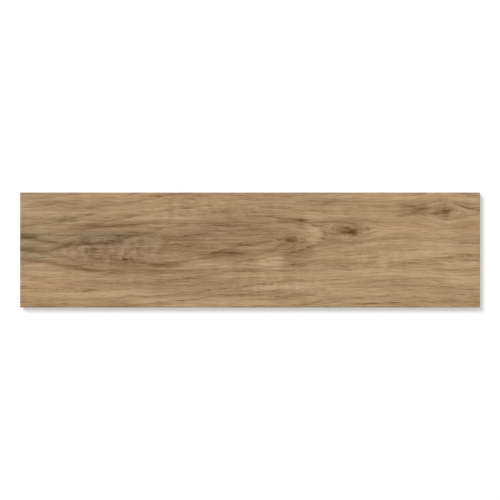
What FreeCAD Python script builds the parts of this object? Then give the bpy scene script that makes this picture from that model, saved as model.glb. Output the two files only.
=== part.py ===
import FreeCAD, Part
import math
import os

# Wood look porcelain plank tile: one plank, pressed from dry clay powder, glazed, printed and fired.
# It lies on its back with the glazed face up. The origin is the centre of the back, on the plane
# that beds in the adhesive. +X runs along the plank, +Y across it and +Z up out of the face.
# Sizes are in millimetres and degrees.

# The plank, sold as 6 by 24 inches
LENGTH = 600.0
WIDTH = 150.0
THICKNESS = 9.0

# Pressed edges, the same on all four sides: a rounded arris at the face and a bevel at the back
FACE_ARRIS_RADIUS = 1.2
BACK_BEVEL_RUN = 1.5
BACK_BEVEL_RISE = 3.0

# Waffle on the back: rows of shallow drafted pockets, with ribs between them and a plain rim around
RIM_WIDTH = 8.0
RIB_WIDTH = 3.0
POCKET_SPACING = 22.0
POCKET_DEPTH = 0.7
POCKET_DRAFT_ANGLE = 35.0
POCKET_CORNER_CUT = 2.0

# How far a pocket's cutter starts below the back, so that it breaks cleanly through the plane
CUTTER_OVERRUN = 1.0

# The back inside its bevels and rim: the field that the waffle fills
WAFFLE_LENGTH = LENGTH - 2 * (BACK_BEVEL_RUN + RIM_WIDTH)
WAFFLE_WIDTH = WIDTH - 2 * (BACK_BEVEL_RUN + RIM_WIDTH)

ORIGIN = FreeCAD.Vector(0, 0, 0)
X_AXIS = FreeCAD.Vector(1, 0, 0)
Z_AXIS = FreeCAD.Vector(0, 0, 1)


def section_bar(span, run):
    """The plank's section over a span, bevelled at the back, drawn out along Y for a run."""
    side = span / 2
    foot = side - BACK_BEVEL_RUN
    outline = [
        (-foot, 0),
        (foot, 0),
        (side, BACK_BEVEL_RISE),
        (side, THICKNESS),
        (-side, THICKNESS),
        (-side, BACK_BEVEL_RISE),
        (-foot, 0),
    ]
    section = Part.Face(Part.makePolygon([FreeCAD.Vector(x, -run / 2, z) for x, z in outline]))
    return section.extrude(FreeCAD.Vector(0, run, 0))


def pressed_body():
    """The plank with its four edges: what its lengthwise and crosswise sections have in common, with
    the edges of the face rounded."""
    lengthwise = section_bar(LENGTH, WIDTH)
    crosswise = section_bar(WIDTH, LENGTH)
    crosswise.rotate(ORIGIN, Z_AXIS, 90)
    body = lengthwise.common(crosswise)
    glazed_face = max(body.Faces, key=lambda face: face.CenterOfMass.z)
    return body.makeFillet(FACE_ARRIS_RADIUS, glazed_face.Edges)


def pocket_cutter(length, width):
    """What one pocket takes out: a block that narrows upwards by the draft, with its corners cut off."""
    draft_slope = math.tan(math.radians(POCKET_DRAFT_ANGLE))
    mouth_x = length / 2 + CUTTER_OVERRUN * draft_slope
    mouth_y = width / 2 + CUTTER_OVERRUN * draft_slope
    floor_x = length / 2 - POCKET_DEPTH * draft_slope
    floor_y = width / 2 - POCKET_DEPTH * draft_slope
    block = Part.makeWedge(
        -mouth_x, -CUTTER_OVERRUN, -mouth_y, -floor_y, -floor_x,
        mouth_x, POCKET_DEPTH, mouth_y, floor_y, floor_x,
    )
    block.rotate(ORIGIN, X_AXIS, 90)
    corner_edges = [edge for edge in block.Edges if edge.BoundBox.ZLength > POCKET_DEPTH]
    return block.makeChamfer(POCKET_CORNER_CUT, corner_edges)


def waffle_steps(field):
    """Pocket size and pocket centres along one side of the field, in pairs, with a rib in the middle."""
    pairs = max(1, round((field + RIB_WIDTH) / (2 * POCKET_SPACING)))
    spacing = (field + RIB_WIDTH) / (2 * pairs)
    centres = [(step + 0.5) * spacing for step in range(-pairs, pairs)]
    return spacing - RIB_WIDTH, centres


def waffle_cutters():
    """A cutter for every pocket of the waffle."""
    length, centres_along = waffle_steps(WAFFLE_LENGTH)
    width, centres_across = waffle_steps(WAFFLE_WIDTH)
    cutter = pocket_cutter(length, width)
    return [
        cutter.translated(FreeCAD.Vector(along, across, 0))
        for along in centres_along
        for across in centres_across
    ]


def plank_tile():
    """The whole plank, in one solid."""
    plank = pressed_body().cut(Part.makeCompound(waffle_cutters()))
    return plank.Solids[0]


def main():
    tile = plank_tile()
    os.makedirs("parts", exist_ok=True)
    tile.exportStep("parts/plank_tile.step")
    print("valid", tile.isValid(), "faces", len(tile.Faces), "volume cm3", round(tile.Volume / 1000, 2))


main()
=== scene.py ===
from collections import namedtuple
from math import cos, radians, sin
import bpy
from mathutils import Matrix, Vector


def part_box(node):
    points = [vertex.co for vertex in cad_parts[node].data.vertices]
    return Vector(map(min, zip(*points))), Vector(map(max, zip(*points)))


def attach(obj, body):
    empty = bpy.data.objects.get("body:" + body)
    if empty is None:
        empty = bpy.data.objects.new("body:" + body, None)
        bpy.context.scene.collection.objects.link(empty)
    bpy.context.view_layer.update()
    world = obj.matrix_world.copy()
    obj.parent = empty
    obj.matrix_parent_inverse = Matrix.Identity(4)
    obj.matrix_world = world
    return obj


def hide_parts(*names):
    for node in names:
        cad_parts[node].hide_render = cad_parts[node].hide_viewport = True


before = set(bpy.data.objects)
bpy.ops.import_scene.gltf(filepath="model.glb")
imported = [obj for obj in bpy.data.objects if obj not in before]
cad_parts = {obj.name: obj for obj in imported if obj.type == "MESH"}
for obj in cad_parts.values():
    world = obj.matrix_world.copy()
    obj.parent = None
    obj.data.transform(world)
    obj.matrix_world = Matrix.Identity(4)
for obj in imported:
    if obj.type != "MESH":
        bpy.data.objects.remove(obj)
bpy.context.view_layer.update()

from types import SimpleNamespace

import bpy

# The plank: porcelain clay, pressed dry between two steel dies, then glazed, printed and fired hard.
# The upper die rounds the edges of the face. The sides run straight down from there to the bevel of
# the back.
ARRIS_RADIUS = 0.0012
ARRIS_STEPS = 5
BACK_BEVEL_RISE = 0.003
FACE_CELL_LENGTH = 0.0022
FACE_CELL_WIDTH = 0.0005
CENTRE = (0, 0, 0)
ALIGNED = 0.99

low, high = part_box("plank_tile")
plank_length = high.x - low.x
plank_width = high.y - low.y
plank_top = high.z
face_length = plank_length - 2 * ARRIS_RADIUS
face_width = plank_width - 2 * ARRIS_RADIUS


def select_faces(piece, wanted):
    """Selects the faces that wanted(face) picks, and leaves the piece in edit mode."""
    bpy.ops.object.mode_set(mode="EDIT")
    bpy.ops.mesh.select_mode(type="FACE")
    bpy.ops.mesh.select_all(action="DESELECT")
    bpy.ops.object.mode_set(mode="OBJECT")
    for face in piece.data.polygons:
        face.select = wanted(face)
    bpy.ops.object.mode_set(mode="EDIT")


def draw_out_rim(size, new_size, drop):
    """Extrudes the selected rim down by a drop, from one size (length, width) to a new one."""
    bpy.ops.mesh.extrude_edges_move(TRANSFORM_OT_translate={"value": (0, 0, -drop)})
    spread = (new_size[0] / size[0], new_size[1] / size[1], 1)
    bpy.ops.transform.resize(value=spread, center_override=CENTRE)


# The face is a fine grid, with long cells along the grain, so that relief can be pressed into it
bpy.ops.object.select_all(action="DESELECT")
bpy.ops.mesh.primitive_grid_add(
    x_subdivisions=round(face_length / FACE_CELL_LENGTH),
    y_subdivisions=round(face_width / FACE_CELL_WIDTH),
    size=1,
)
plank = bpy.context.active_object
plank.name = "plank"
bpy.ops.object.mode_set(mode="EDIT")
bpy.ops.transform.resize(value=(face_length, face_width, 1), center_override=CENTRE)
bpy.ops.transform.translate(value=(0, 0, plank_top))

# The rim of the grid rolls over the arris and runs straight down the side to the bevel
bpy.ops.mesh.region_to_loop()
rim = (face_length, face_width)
rim_height = plank_top
for step in range(1, ARRIS_STEPS + 1):
    turn = radians(90) * step / ARRIS_STEPS
    reach = 2 * ARRIS_RADIUS * sin(turn)
    height = plank_top - ARRIS_RADIUS * (1 - cos(turn))
    new_rim = (face_length + reach, face_width + reach)
    draw_out_rim(rim, new_rim, rim_height - height)
    rim, rim_height = new_rim, height
draw_out_rim(rim, rim, rim_height - BACK_BEVEL_RISE)


def on_side(face, outward):
    """Whether a face is on the straight side that looks outward, (x, y)."""
    faces_outward = face.normal.x * outward[0] + face.normal.y * outward[1] > ALIGNED
    return faces_outward and face.center.z < rim_height


# Each side becomes one flat face, with only its corners left on the bevel
for outward in [(1, 0), (-1, 0), (0, 1), (0, -1)]:
    select_faces(plank, lambda face: on_side(face, outward))
    bpy.ops.mesh.dissolve_faces(use_verts=True)
bpy.ops.object.mode_set(mode="OBJECT")


# The back: a bevel, a plain rim and a waffle of shallow pockets, which the lower die presses in the same
# stroke. It is taken from a merged copy of the solid, and its pockets get the soft edges of pressed clay.
WELD_DISTANCE = 1e-6
POCKET_EDGE_CUT = 0.0003
PLAIN_RIM = 0.006
SHARP_EDGE = radians(20)

back = bpy.data.objects.new("back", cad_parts["plank_tile"].data.copy())
back.data.materials.clear()
bpy.context.collection.objects.link(back)
bpy.ops.object.select_all(action="DESELECT")
back.select_set(True)
bpy.context.view_layer.objects.active = back
bpy.ops.mesh.customdata_custom_splitnormals_clear()
bpy.ops.object.mode_set(mode="EDIT")
bpy.ops.mesh.select_all(action="SELECT")
bpy.ops.mesh.remove_doubles(threshold=WELD_DISTANCE)
select_faces(back, lambda face: face.center.z > BACK_BEVEL_RISE)
bpy.ops.mesh.delete(type="FACE")

# The sharp edges inside the plain rim are those of the pockets
bpy.ops.mesh.select_mode(type="EDGE")
bpy.ops.mesh.select_all(action="DESELECT")
bpy.ops.mesh.edges_select_sharp(sharpness=SHARP_EDGE)
bpy.ops.object.mode_set(mode="OBJECT")
waffle_x = plank_length / 2 - PLAIN_RIM
waffle_y = plank_width / 2 - PLAIN_RIM
for edge in back.data.edges:
    ends = [back.data.vertices[index].co for index in edge.vertices]
    in_waffle = all(abs(end.x) < waffle_x and abs(end.y) < waffle_y for end in ends)
    edge.select = edge.select and in_waffle
bpy.ops.object.mode_set(mode="EDIT")
bpy.ops.mesh.bevel(offset=POCKET_EDGE_CUT, segments=1)
bpy.ops.object.mode_set(mode="OBJECT")

# Back and plank are joined along the top of the bevel
plank.select_set(True)
bpy.context.view_layer.objects.active = plank
bpy.ops.object.join()
bpy.ops.object.mode_set(mode="EDIT")
bpy.ops.mesh.select_all(action="SELECT")
bpy.ops.mesh.remove_doubles(threshold=WELD_DISTANCE)
bpy.ops.mesh.normals_make_consistent(inside=False)
bpy.ops.object.mode_set(mode="OBJECT")


# The figure of the oak board that the face copies: growth rings cut lengthwise, close to the heart of the
# tree, so that they run out in a long lens, with knots and dark lines along the line of the heart.
# All of it is in millimetres on the face, along and across from its middle.
Flecks = namedtuple("Flecks", "strength length width seed detail", defaults=[2])
Rings = namedtuple("Rings", "width dark seed")
Pores = namedtuple("Pores", "length width fade dark dark_in_ring seed")
Knot = namedtuple("Knot", "x y half_length half_width tail dark seed")
Stroke = namedtuple("Stroke", "half_width dark line")
MM_PER_METRE = 1000
NOISE_MEAN = 0.5

# The grain sways and wobbles along the board, and its rings waver around the heart
SWAY = Flecks(12, length=160, width=45, seed=1.7)
WOBBLE = Flecks(3, length=45, width=14, seed=5.2)
RING_WAVES = Flecks(4, length=110, width=26, seed=8.4)
RING_RIPPLES = Flecks(2.2, length=26, width=6, seed=2.9)
HEART_LINE = [(-300, -9), (-225, -5), (-138, 3), (-87, 9), (-40, 14), (40, 17), (127, 19), (300, 22)]
HEART_DEPTH = [(-300, 52), (-225, 45), (-138, 37), (-87, 34), (-40, 37), (40, 43), (130, 51), (300, 58)]

# A ring starts sharply and fades outwards, and it is weak or strong for a run along the grain.
# Dark is how much the print darkens there, where 1 is all the way from the palest tone to dark brown.
RINGS = Rings(width=8.0, dark=0.22, seed=4.1)
FINE_RINGS = Rings(width=2.7, dark=0.12, seed=7.3)
RING_RUN = 130
RING_APART = 3.7
RING_WEAK = -0.2
RING_STRONG = 0.15
RING_START = 0.12
RING_FADE = 2.2

# Pores are short dashes, and some are darker where a ring starts
LARGE_PORES = Pores(length=28, width=1.3, fade=0.14, dark=0.16, dark_in_ring=0.3, seed=6.3)
SMALL_PORES = Pores(length=16, width=0.7, fade=0.14, dark=0.2, dark_in_ring=0.0, seed=2.6)
FINE_PORES = Pores(length=7, width=0.3, fade=0.04, dark=0.12, dark_in_ring=0.35, seed=9.3)
PORE_START = 0.06
PORE_DETAIL = 1

# Knots push the grain aside and run out to the left in a tail. Reach, edge, core, rings and pith are
# measured in the knot's own size.
KNOTS = [
    Knot(54, 13.5, half_length=10, half_width=5.5, tail=15, dark=0.42, seed=54),
    Knot(131, 25.5, half_length=13, half_width=8.5, tail=30, dark=0.27, seed=131),
    Knot(253, 49, half_length=9, half_width=9, tail=12, dark=0.46, seed=253),
]
KNOT_REACH_ALONG = 2.6
KNOT_REACH_ACROSS = 2.8
KNOT_PARTING = 6
KNOT_TAPER = 0.6
KNOT_RAGGED = Flecks(1.2, length=12, width=3, seed=4.8, detail=3)
KNOT_EDGE = 1.6
KNOT_CORE = 0.2
KNOT_RINGS = 5
KNOT_RING_RUN = 9
KNOT_RING_MEAN = 0.8
KNOT_RING_CONTRAST = 1.7
PITH_SIZE = 0.45
PITH_DARK = 0.45

# Strokes are the dark lines of the figure and a pale one, from the left end to the right.
# They are bundles of fibres, and they taper to thin tips over a share of their length.
STROKES = [
    Stroke(3.4, 0.33, [(-340, 18), (-285, 15), (-262, 10), (-225, 6)]),
    Stroke(3.0, 0.33, [(-340, 3), (-285, -1), (-262, -6), (-225, -9)]),
    Stroke(3.0, 0.46, [(-340, -6), (-272, -15), (-230, -22), (-200, -27), (-165, -29), (-110, -27)]),
    Stroke(3.0, 0.22, [(-285, -9), (-236, 7), (-218, 14), (-203, 17), (-157, 19), (-104, 21)]),
    Stroke(3.0, 0.34, [(-275, -5), (-250, 2), (-228, 8), (-200, 8), (-160, 7)]),
    Stroke(2.4, 0.36, [(-262, 39), (-240, 38), (-218, 38.5)]),
    Stroke(2.4, -0.12, [(-256, 6), (-227, 18), (-203, 23), (-172, 28)]),
    Stroke(2.8, 0.46, [(-256, 22), (-227, 28), (-180, 32), (-132, 35), (-85, 41)]),
    Stroke(2.2, 0.24, [(-160, -29), (-110, -28), (-50, -27), (25, -26)]),
    Stroke(2.8, 0.42, [(-140, -18), (-110, -20), (-80, -18)]),
    Stroke(3.4, 0.32, [(-110, -9), (-75, -5), (-36, -4), (8, -4), (26, -1), (43, 7), (62, 12), (92, 13)]),
    Stroke(2.4, 0.26, [(-80, 44), (-30, 42), (10, 43), (50, 40)]),
    Stroke(2.0, 0.3, [(-40, 12), (0, 6), (18, 10), (48, 15)]),
    Stroke(3.2, 0.54, [(30, 37), (46, 39), (62, 39), (80, 37)]),
    Stroke(3.2, 0.15, [(52, 14), (75, 10), (108, 7)]),
    Stroke(2.4, 0.26, [(96, 19), (110, 21), (124, 23), (142, 26)]),
    Stroke(2.0, 0.2, [(120, 27), (145, 28), (172, 27)]),
    Stroke(2.2, 0.4, [(180, 43), (205, 46), (225, 48), (256, 45)]),
    Stroke(2.2, 0.34, [(180, 56), (205, 58), (222, 54), (256, 57)]),
]
STROKE_TAPER = 0.3
STROKE_TIP = 0.3
FIBRES = Flecks(2.6, length=34, width=1.2, seed=3.9)
FIBRES_MEAN = 0.75
FIBRES_LEAST = 0.1


def feed(entry, value):
    """Links a field to a node's entry, or sets a plain number there."""
    if isinstance(value, Field):
        entry.id_data.links.new(value.socket, entry)
    else:
        entry.default_value = value


class Field:
    """A number that changes from place to place, held as a node's output, so that sums can be written."""

    def __init__(self, socket):
        self.socket = socket

    def calc(self, operation, *others):
        node = self.socket.id_data.nodes.new("ShaderNodeMath")
        node.operation = operation
        for entry, value in zip(node.inputs, (self, *others)):
            feed(entry, value)
        return Field(node.outputs[0])

    def __add__(self, other):
        return self.calc("ADD", other)

    def __sub__(self, other):
        return self.calc("SUBTRACT", other)

    def __rsub__(self, other):
        return self * -1.0 + other

    def __mul__(self, other):
        return self.calc("MULTIPLY", other)

    def __truediv__(self, other):
        return self.calc("DIVIDE", other)

    def __pow__(self, power):
        return self.calc("POWER", power)

    __radd__ = __add__
    __rmul__ = __mul__


def noise(along, across, seed, detail=2):
    """Random blobs around 0, about one unit of along and across in size. Each seed gives other ones."""
    nodes = along.socket.id_data.nodes
    place = nodes.new("ShaderNodeCombineXYZ")
    feed(place.inputs["X"], along)
    feed(place.inputs["Y"], across)
    feed(place.inputs["Z"], seed)
    texture = nodes.new("ShaderNodeTexNoise")
    texture.inputs["Scale"].default_value = 1.0
    texture.inputs["Detail"].default_value = detail
    feed(texture.inputs["Vector"], Field(place.outputs["Vector"]))
    return Field(texture.outputs[0]) - NOISE_MEAN


def scatter(flecks, along, across):
    """Random flecks around 0, as strong, long and wide as they are given."""
    return flecks.strength * noise(along / flecks.length, across / flecks.width, flecks.seed, flecks.detail)


def step_up(field, start, end):
    """0 where the field is at start, 1 where it is at end, and smooth between."""
    node = field.socket.id_data.nodes.new("ShaderNodeMapRange")
    node.interpolation_type = "SMOOTHSTEP"
    feed(node.inputs["Value"], field)
    node.inputs["From Min"].default_value = start
    node.inputs["From Max"].default_value = end
    return Field(node.outputs["Result"])


def bell(field):
    """1 where the field is 0, fading out on both sides of it."""
    return (field * field * -1.0).calc("EXPONENT")


def drawn_curve(x, points):
    """A smooth line through drawn points, (along, value)."""
    node = x.socket.id_data.nodes.new("ShaderNodeFloatCurve")
    start, end = points[0][0], points[-1][0]
    least = min(value for along, value in points)
    most = max(value for along, value in points)
    places = [((along - start) / (end - start), (value - least) / (most - least)) for along, value in points]
    line = node.mapping.curves[0]
    line.points[0].location = places[0]
    line.points[-1].location = places[-1]
    for place in places[1:-1]:
        line.points.new(*place)
    node.mapping.update()
    feed(node.inputs["Value"], (x - start) / (end - start))
    return Field(node.outputs["Value"]) * (most - least) + least


def millimetres(place):
    """The three coordinates of a place that a node gives in metres, in millimetres."""
    parts = place.id_data.nodes.new("ShaderNodeSeparateXYZ")
    feed(parts.inputs["Vector"], Field(place))
    x, y, z = [Field(part) * MM_PER_METRE for part in parts.outputs]
    return SimpleNamespace(x=x, y=y, z=z)


def grain_of(place):
    """How the wood runs at a place of the face: along the grain, across it, and out through the rings.
    Sway is the place across the grain before the knots push it aside."""
    grain = millimetres(place)
    grain.wobble = scatter(WOBBLE, grain.x, grain.y)
    grain.sway = grain.y + grain.wobble + scatter(SWAY, grain.x, grain.y)
    grain.across = grain.sway
    grain.near_knot = 0.0
    for knot in KNOTS:
        along = (grain.x - knot.x) / (KNOT_REACH_ALONG * knot.half_length)
        across = (grain.sway - knot.y) / (KNOT_REACH_ACROSS * knot.half_width)
        near = bell(along) * bell(across)
        push = knot.half_width * (KNOT_PARTING * across).calc("TANH")
        grain.across = grain.across - push * near
        grain.near_knot = near + grain.near_knot
    from_heart = grain.across - drawn_curve(grain.x, HEART_LINE)
    depth = drawn_curve(grain.x, HEART_DEPTH)
    uneven = scatter(RING_WAVES, grain.x, grain.y) + scatter(RING_RIPPLES, grain.x, grain.y)
    grain.ring = (from_heart * from_heart + depth * depth) ** 0.5 + uneven
    return grain


def spring_wood(grain, rings):
    """The porous wood that starts each ring: sharp on the inner side, fading out across the ring."""
    turns = grain.ring / rings.width
    through = turns.calc("FRACT")
    run = noise(grain.x / RING_RUN, turns.calc("FLOOR") * RING_APART, rings.seed)
    strength = step_up(run, RING_WEAK, RING_STRONG)
    return (1 - through) ** RING_FADE * step_up(through, 0.0, RING_START) * strength


def open_pores(grain, pores):
    """Short dashes along the grain."""
    dashes = noise(grain.x / pores.length, grain.across / pores.width, pores.seed, PORE_DETAIL)
    return step_up(dashes, PORE_START, PORE_START + pores.fade)


def dark_line(grain, stroke):
    """One stroke of the figure, which thins out towards both ends."""
    off_line = grain.y + grain.wobble - drawn_curve(grain.x, stroke.line)
    start, end = stroke.line[0][0], stroke.line[-1][0]
    taper = STROKE_TAPER * (end - start)
    ends = step_up(grain.x, start, start + taper) * step_up(grain.x, end, end - taper)
    half_width = stroke.half_width * (STROKE_TIP + (1 - STROKE_TIP) * ends)
    return stroke.dark * bell(off_line / half_width) * ends


def dark_knot(grain, knot):
    """One knot: a dark pith in uneven rings, ragged along the grain, which runs out into a tail."""
    tail = (grain.x - knot.x).calc("MINIMUM", 0.0) / knot.tail
    head = (grain.x - knot.x).calc("MAXIMUM", 0.0) / knot.half_length
    narrowing = 1 + KNOT_TAPER * tail.calc("MAXIMUM", -1.0)
    across = (grain.sway - knot.y) / (knot.half_width * narrowing)
    ragged = scatter(KNOT_RAGGED, grain.x, grain.y)
    out = ((tail * tail + head * head + across * across) ** 0.5 + ragged).calc("MAXIMUM", 0.0)
    rings = noise(out * KNOT_RINGS, grain.x / KNOT_RING_RUN, knot.seed)
    wood = step_up(out, KNOT_EDGE, KNOT_CORE) * (KNOT_RING_MEAN + KNOT_RING_CONTRAST * rings)
    return knot.dark * (wood + PITH_DARK * bell(out / PITH_SIZE))


def dark_figure(grain):
    """All strokes, in bundles of fibres, and all knots."""
    fibres = (FIBRES_MEAN + scatter(FIBRES, grain.x, grain.across)).calc("MAXIMUM", FIBRES_LEAST)
    lines = sum(dark_line(grain, stroke) for stroke in STROKES)
    return lines * fibres + sum(dark_knot(grain, knot) for knot in KNOTS)


# Relief of the face: the upper die presses the grain into the clay, in register with the print.
# The relief only sinks below the top of the face, and it runs out over the arris.
# Depths are in millimetres.
RING_DEPTH = 0.1
FINE_RING_DEPTH = 0.05
PORE_DEPTH = 0.14
FIGURE_DEPTH = 0.15
GROOVES = Flecks(0.16, length=90, width=2.6, seed=9.6)
GROOVES_MEAN = 0.032

arris_height = ARRIS_RADIUS * MM_PER_METRE
top_height = plank_top * MM_PER_METRE


def relief_of_face():
    """The nodes that press the grain into the face."""
    tree = bpy.data.node_groups.new("pressed_relief", "GeometryNodeTree")
    tree.interface.new_socket("Geometry", in_out="INPUT", socket_type="NodeSocketGeometry")
    tree.interface.new_socket("Geometry", in_out="OUTPUT", socket_type="NodeSocketGeometry")
    smooth = tree.nodes.new("NodeGroupInput")
    pressed = tree.nodes.new("NodeGroupOutput")
    position = tree.nodes.new("GeometryNodeInputPosition")
    grain = grain_of(position.outputs["Position"])
    grooves = (scatter(GROOVES, grain.x, grain.across) + GROOVES_MEAN).calc("MAXIMUM", 0.0)
    depth = RING_DEPTH * spring_wood(grain, RINGS) + FINE_RING_DEPTH * spring_wood(grain, FINE_RINGS)
    depth = depth + PORE_DEPTH * open_pores(grain, LARGE_PORES) + grooves
    depth = depth + FIGURE_DEPTH * dark_figure(grain).calc("MAXIMUM", 0.0)
    on_top = step_up(grain.z, top_height - arris_height, top_height)
    offset = tree.nodes.new("ShaderNodeCombineXYZ")
    feed(offset.inputs["Z"], depth * on_top / -MM_PER_METRE)
    move = tree.nodes.new("GeometryNodeSetPosition")
    tree.links.new(smooth.outputs["Geometry"], move.inputs["Geometry"])
    tree.links.new(offset.outputs["Vector"], move.inputs["Offset"])
    tree.links.new(move.outputs["Geometry"], pressed.inputs["Geometry"])
    return tree


press = plank.modifiers.new("press", "NODES")
press.node_group = relief_of_face()
bpy.ops.object.modifier_apply(modifier="press")
bpy.ops.object.shade_smooth_by_angle(angle=SHARP_EDGE)


# Printed glaze of the face: brown oak, printed in a matte glaze and fired into it.
# Streaks are the fibres of the wood, and shades are patches that are darker or paler than the rest. Curls
# are patches of curly grain, tints lean to olive (below 0) or to rose (above 0), and faded ones to ash.
Patch = namedtuple("Patch", "x y half_length half_width strength")

MEAN_TONE = 0.79
STREAKS = [
    Flecks(0.66, length=200, width=9, seed=3.3, detail=3),
    Flecks(0.62, length=80, width=2.8, seed=7.7, detail=3),
    Flecks(0.4, length=25, width=0.8, seed=1.1),
    Flecks(0.3, length=30, width=0.3, seed=4.5),
    Flecks(0.2, length=18, width=50, seed=2.2),
]
SHADES = [
    Patch(-300, 5, 34, 24, -0.22),
    Patch(-205, 57, 60, 14, -0.05),
    Patch(-190, 6, 55, 7, -0.1),
    Patch(-185, 28, 60, 6, -0.07),
    Patch(-185, 4, 85, 34, -0.22),
    Patch(-120, -38, 160, 17, -0.1),
    Patch(-30, 16, 95, 31, -0.21),
    Patch(-25, -8, 45, 7, -0.1),
    Patch(28, -16, 19, 9, 0.36),
    Patch(35, -46, 36, 8, 0.1),
    Patch(62, -7, 24, 17, -0.25),
    Patch(92, 23, 20, 17, 0.2),
    Patch(121, 26, 19, 8, -0.18),
    Patch(130, 57, 60, 14, -0.07),
    Patch(168, 28, 22, 14, 0.08),
    Patch(215, 51, 30, 7, -0.2),
    Patch(255, -25, 60, 32, 0.1),
    Patch(255, 67, 55, 8, 0.12),
    Patch(262, 10, 45, 22, 0.07),
]
CURLS = [
    Patch(-190, -4, 60, 17, 1.2),
    Patch(-100, 15, 55, 30, 0.45),
    Patch(-60, 55, 70, 14, 0.5),
    Patch(40, -48, 90, 16, 0.5),
    Patch(165, -10, 45, 20, 0.6),
]
TINTS = [
    Patch(-290, 5, 40, 24, -0.3),
    Patch(-265, 42, 45, 26, -0.2),
    Patch(-255, -50, 45, 16, 0.15),
    Patch(-195, 17, 65, 8, -0.45),
    Patch(-20, 20, 80, 24, 0.12),
    Patch(165, -12, 45, 18, -0.15),
    Patch(205, 24, 34, 12, 0.2),
]
FADED = [
    Patch(-290, 2, 30, 24, 0.4),
    Patch(-190, 2, 70, 24, 0.9),
    Patch(-50, 22, 50, 24, 0.35),
]
PATCH_ENDS = Flecks(40, length=60, width=1.6, seed=6.9)
CURLY_GRAIN = Flecks(1, length=8, width=12, seed=6.6)
CURL_BEND = Flecks(10, length=30, width=12, seed=9.1)
TINT_DRIFT = Flecks(0.9, length=140, width=22, seed=5.9)
NEAR_KNOT_DARK = 0.22

# Painted shade: the print is made darker by height, from a start to an end that lie this far below the top,
# in millimetres.
# It darkens the arris, partly as the glaze's own darker edge and partly as the shade of the rounded edge,
# and, less, the deepest pressed grain, as shade in its hollows.
ARRIS_PAINTED_SHADE = 0.2
SHADE_START_BELOW_TOP = 0.1
SHADE_FULL_BELOW_TOP = 0.84

# Colours by tone, by lean and by fading, and the sheen of the glaze
OAK = [
    (-0.4, (0.05, 0.021, 0.004)),
    (0.0, (0.122, 0.061, 0.014)),
    (0.2, (0.206, 0.117, 0.04)),
    (0.4, (0.28, 0.171, 0.08)),
    (0.65, (0.378, 0.242, 0.122)),
    (1.0, (0.53, 0.358, 0.201)),
]
OLIVE_TO_ROSE = [(-0.5, (0.9, 1.02, 1.05)), (0.0, (1, 1, 1)), (0.5, (1.04, 0.95, 0.98))]
PLAIN_TO_ASH = [(0.0, (1, 1, 1)), (1.0, (0.945, 0.967, 1.09))]
GLAZE_ROUGHNESS = 0.58
GLAZE_WEAR = Flecks(0.2, length=60, width=4, seed=8.1)
GLAZE_SPECULAR = 0.3
PORE_ROUGHNESS = 0.1
GLAZE_SKIN = Flecks(0.4, length=0.5, width=0.5, seed=1.9)
GLAZE_SKIN_DEPTH = 0.00008


def sum_of(grain, patches):
    """The strengths of all patches at a place. Each follows the grain and runs out in streaks."""
    total = 0.0
    run = grain.x + scatter(PATCH_ENDS, grain.x, grain.across)
    for patch in patches:
        along = (run - patch.x) / patch.half_length
        across = (grain.sway - patch.y) / patch.half_width
        total = patch.strength * bell(along * along + across * across) + total
    return total


def printed_tone(grain):
    """How light the print is, from 0 for a dark brown to 1 for the palest, with painted shade over the arris
    and in the deepest grain.
    """
    tone = MEAN_TONE
    for streaks in STREAKS:
        tone = scatter(streaks, grain.x, grain.across) + tone
    ring_start = spring_wood(grain, RINGS)
    tone = tone - RINGS.dark * ring_start
    tone = tone - spring_wood(grain, FINE_RINGS) * (FINE_RINGS.dark + NEAR_KNOT_DARK * grain.near_knot)
    for pores in (LARGE_PORES, SMALL_PORES, FINE_PORES):
        tone = tone - open_pores(grain, pores) * (pores.dark + pores.dark_in_ring * ring_start)
    bent = grain.x + scatter(CURL_BEND, grain.x, grain.y)
    tone = tone + scatter(CURLY_GRAIN, bent, grain.across) * sum_of(grain, CURLS)
    tone = tone + sum_of(grain, SHADES) - dark_figure(grain)
    # Painted shade: darker over the arris and, less, in the deepest pressed grain
    return tone - ARRIS_PAINTED_SHADE * step_up(grain.z, top_height - SHADE_START_BELOW_TOP, top_height - SHADE_FULL_BELOW_TOP)


def colours(field, stops):
    """Turns a field into colours by stops of (value, colour), from the lowest value up."""
    node = field.socket.id_data.nodes.new("ShaderNodeValToRGB")
    least, most = stops[0][0], stops[-1][0]
    feed(node.inputs["Fac"], (field - least) / (most - least))
    elements = node.color_ramp.elements
    elements[0].color = (*stops[0][1], 1)
    elements[1].color = (*stops[-1][1], 1)
    for value, colour in stops[1:-1]:
        elements.new((value - least) / (most - least)).color = (*colour, 1)
    return node.outputs["Color"]


def mixed(amount, colour, other, blend="MIX"):
    """Mixes another colour into a colour."""
    tree = colour.id_data
    node = tree.nodes.new("ShaderNodeMix")
    node.data_type = "RGBA"
    node.blend_type = blend
    feed(node.inputs["Factor"], amount)
    tree.links.new(colour, node.inputs["A"])
    tree.links.new(other, node.inputs["B"])
    return node.outputs["Result"]


def new_finish(name):
    """A new material, its shader, and the place on the piece."""
    material = bpy.data.materials.new(name)
    material.use_nodes = True
    tree = material.node_tree
    place = tree.nodes.new("ShaderNodeTexCoord").outputs["Object"]
    return material, tree.nodes["Principled BSDF"], place


def rough_skin(shader, height, distance):
    """Gives a shader a fine texture that is too small for the mesh."""
    tree = shader.id_data
    bump = tree.nodes.new("ShaderNodeBump")
    bump.inputs["Distance"].default_value = distance
    feed(bump.inputs["Height"], height)
    tree.links.new(bump.outputs["Normal"], shader.inputs["Normal"])


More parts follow.
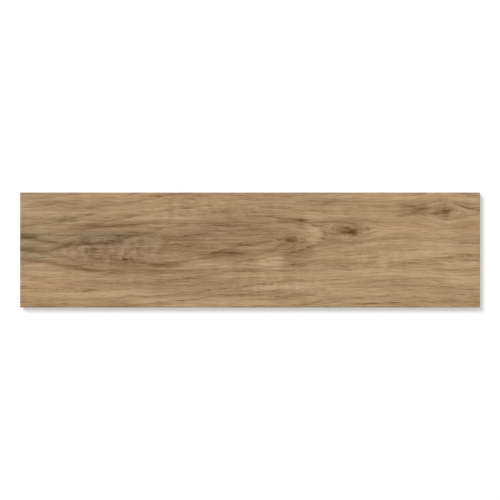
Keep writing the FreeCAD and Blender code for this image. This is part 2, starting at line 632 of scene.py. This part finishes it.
def printed_glaze():
    """The finish of the face and its arris."""
    material, shader, place = new_finish("printed_oak_glaze")
    grain = grain_of(place)
    wood = colours(printed_tone(grain), OAK)
    lean = scatter(TINT_DRIFT, grain.x, grain.across) + sum_of(grain, TINTS)
    for layer in (colours(lean, OLIVE_TO_ROSE), colours(sum_of(grain, FADED), PLAIN_TO_ASH)):
        wood = mixed(1.0, wood, layer, "MULTIPLY")
    shader.id_data.links.new(wood, shader.inputs["Base Color"])
    small_pores = open_pores(grain, SMALL_PORES)
    wear = scatter(GLAZE_WEAR, grain.x, grain.across)
    feed(shader.inputs["Roughness"], GLAZE_ROUGHNESS + wear + PORE_ROUGHNESS * small_pores)
    shader.inputs["Specular IOR Level"].default_value = GLAZE_SPECULAR
    rough_skin(shader, scatter(GLAZE_SKIN, grain.x, grain.y) - small_pores, GLAZE_SKIN_DEPTH)
    return material


# Sides and back bevel: bare porcelain, pale and dull, dragged by the die as the plank leaves it.
# The glaze has run over the top of the sides and dried in an uneven line.
BARE_CLAY = [(0.0, (0.47, 0.4, 0.31)), (1.0, (0.66, 0.59, 0.49))]
RUN_GLAZE = [(0.0, (0.23, 0.145, 0.075)), (1.0, (0.33, 0.215, 0.115))]
CLAY_MEAN = 0.5
SIDE_CLOUDS = Flecks(0.8, length=6, width=3, seed=1.2, detail=4)
SIDE_STREAKS = Flecks(0.5, length=0.5, width=5, seed=7.9)
GLAZE_LINE = 7.0
GLAZE_LINE_FADE = 0.4
LONG_RUNS = Flecks(1.6, length=9, width=1, seed=3.1, detail=3)
SHORT_RUNS = Flecks(0.8, length=1.4, width=1, seed=6.1)
CLAY_ROUGHNESS = 0.8
RUN_GLAZE_ROUGHNESS = 0.6
SIDE_SPECULAR = 0.25
SIDE_DRAG = Flecks(1, length=0.4, width=4, seed=2.7)
SIDE_GRIT = Flecks(1, length=0.7, width=0.7, seed=4.4)
CLAY_SKIN_DEPTH = 0.0001


def bare_sides():
    """The finish of the sides, with its patterns laid around the plank and up the sides."""
    material, shader, place = new_finish("bare_porcelain")
    spot = millimetres(place)
    around = spot.x + spot.y
    body = CLAY_MEAN + scatter(SIDE_CLOUDS, around, spot.z) + scatter(SIDE_STREAKS, around, spot.z)
    drip = spot.z + scatter(LONG_RUNS, around, 0.0) + scatter(SHORT_RUNS, around, 0.0)
    glazed = step_up(drip, GLAZE_LINE - GLAZE_LINE_FADE, GLAZE_LINE + GLAZE_LINE_FADE)
    colour = mixed(glazed, colours(body, BARE_CLAY), colours(body, RUN_GLAZE))
    shader.id_data.links.new(colour, shader.inputs["Base Color"])
    feed(shader.inputs["Roughness"], CLAY_ROUGHNESS + (RUN_GLAZE_ROUGHNESS - CLAY_ROUGHNESS) * glazed)
    shader.inputs["Specular IOR Level"].default_value = SIDE_SPECULAR
    skin = scatter(SIDE_DRAG, around, spot.z) + scatter(SIDE_GRIT, around, spot.z)
    rough_skin(shader, skin, CLAY_SKIN_DEPTH)
    return material


# Finish of the back: the same bare porcelain, a little darker than on the sides.
# White kiln wash, which keeps the plank from sticking to the rollers of the kiln, is rubbed onto the ribs
# and the rim.
BACK_CLAY = [(0.0, (0.42, 0.35, 0.27)), (1.0, (0.58, 0.51, 0.42))]
KILN_WASH = [(0.0, (0.68, 0.66, 0.62)), (1.0, (0.8, 0.78, 0.74))]
BACK_CLOUDS = Flecks(0.9, length=30, width=30, seed=1.2, detail=5)
BACK_SPECKS = Flecks(0.5, length=1.2, width=1.2, seed=7.9)
WASH_TOP = 0.3
WASH_FULL = 0.05
WASH_COVER = 0.8
WASH_PATCHES = Flecks(1, length=40, width=12, seed=2.4, detail=5)
WASH_SPECKS = Flecks(0.5, length=2, width=2, seed=8.3)
WASH_BARE = -0.14
WASH_THICK = 0.1
WASH_ROUGHNESS = 0.92
BACK_SPECULAR = 0.2
BACK_GRIT = Flecks(1, length=0.6, width=0.6, seed=5.7)
BACK_FINISH_TOP = 0.0008


def washed_back():
    """The finish of the back, with the wash on what lies lowest."""
    material, shader, place = new_finish("washed_back")
    spot = millimetres(place)
    body = CLAY_MEAN + scatter(BACK_CLOUDS, spot.x, spot.y) + scatter(BACK_SPECKS, spot.x, spot.y)
    patchy = scatter(WASH_PATCHES, spot.x, spot.y) + scatter(WASH_SPECKS, spot.x, spot.y)
    wash = WASH_COVER * step_up(spot.z, WASH_TOP, WASH_FULL) * step_up(patchy, WASH_BARE, WASH_THICK)
    colour = mixed(wash, colours(body, BACK_CLAY), colours(body, KILN_WASH))
    shader.id_data.links.new(colour, shader.inputs["Base Color"])
    feed(shader.inputs["Roughness"], CLAY_ROUGHNESS + (WASH_ROUGHNESS - CLAY_ROUGHNESS) * wash)
    shader.inputs["Specular IOR Level"].default_value = BACK_SPECULAR
    rough_skin(shader, scatter(BACK_GRIT, spot.x, spot.y) + wash, CLAY_SKIN_DEPTH)
    return material


# The face has the first finish. The others go on by height, the sides first.
for finish in [printed_glaze(), bare_sides(), washed_back()]:
    plank.data.materials.append(finish)
for slot, upper_limit in [(1, rim_height), (2, BACK_FINISH_TOP)]:
    select_faces(plank, lambda face: face.center.z < upper_limit)
    plank.active_material_index = slot
    bpy.ops.object.material_slot_assign()
bpy.ops.object.mode_set(mode="OBJECT")

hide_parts("plank_tile")
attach(plank, "root")


# The stage: a plain white floor under soft light, and a camera straight above the face.
# The floor lies a little below the back, so that the two don't flicker. What the camera sees of the floor
# and the sky is white, and they light the plank at a plain level.
WHITE = (1, 1, 1, 1)
FLOOR_SIZE = 12
FLOOR_DROP = 0.0002
FLOOR_COLOUR = (0.85, 0.85, 0.85, 1)
FLOOR_ROUGHNESS = 0.9
FLOOR_GLOW = 0.2
SKY_LIGHT = 0.55
SUN_STRENGTH = 2.05
SUN_WIDTH = radians(25)
SUN_TURN = (radians(-46.7), 0, radians(45))
CAMERA_HEIGHT = 1.82
CAMERA_LENS = 100


def seen_directly(tree):
    """1 for what the camera sees straight on, in a reflection or through glass."""
    light_path = tree.nodes.new("ShaderNodeLightPath")
    seen = Field(light_path.outputs["Is Camera Ray"])
    seen = seen.calc("MAXIMUM", Field(light_path.outputs["Is Glossy Ray"]))
    return seen.calc("MAXIMUM", Field(light_path.outputs["Is Transmission Ray"]))


bpy.ops.mesh.primitive_plane_add(size=FLOOR_SIZE, location=(0, 0, -FLOOR_DROP))
floor = bpy.context.active_object
floor.name = "floor"
floor_paint = bpy.data.materials.new("white_floor")
floor_paint.use_nodes = True
floor_shader = floor_paint.node_tree.nodes["Principled BSDF"]
floor_shader.inputs["Base Color"].default_value = FLOOR_COLOUR
floor_shader.inputs["Roughness"].default_value = FLOOR_ROUGHNESS
floor_shader.inputs["Specular IOR Level"].default_value = 0.0
floor_shader.inputs["Emission Color"].default_value = WHITE
feed(floor_shader.inputs["Emission Strength"], seen_directly(floor_paint.node_tree) * FLOOR_GLOW)
floor.data.materials.append(floor_paint)

world = bpy.data.worlds.new("studio")
world.use_nodes = True
bpy.context.scene.world = world
sky = world.node_tree.nodes["Background"]
sky.inputs["Color"].default_value = WHITE
feed(sky.inputs["Strength"], seen_directly(world.node_tree) * (1 - SKY_LIGHT) + SKY_LIGHT)

bpy.ops.object.light_add(type="SUN", rotation=SUN_TURN)
sun = bpy.context.active_object
sun.data.energy = SUN_STRENGTH
sun.data.angle = SUN_WIDTH

bpy.ops.object.camera_add(location=(0, 0, CAMERA_HEIGHT), rotation=(0, 0, 0))
camera = bpy.context.active_object
camera.data.lens = CAMERA_LENS
bpy.context.scene.camera = camera
bpy.context.scene.view_settings.view_transform = "Standard"
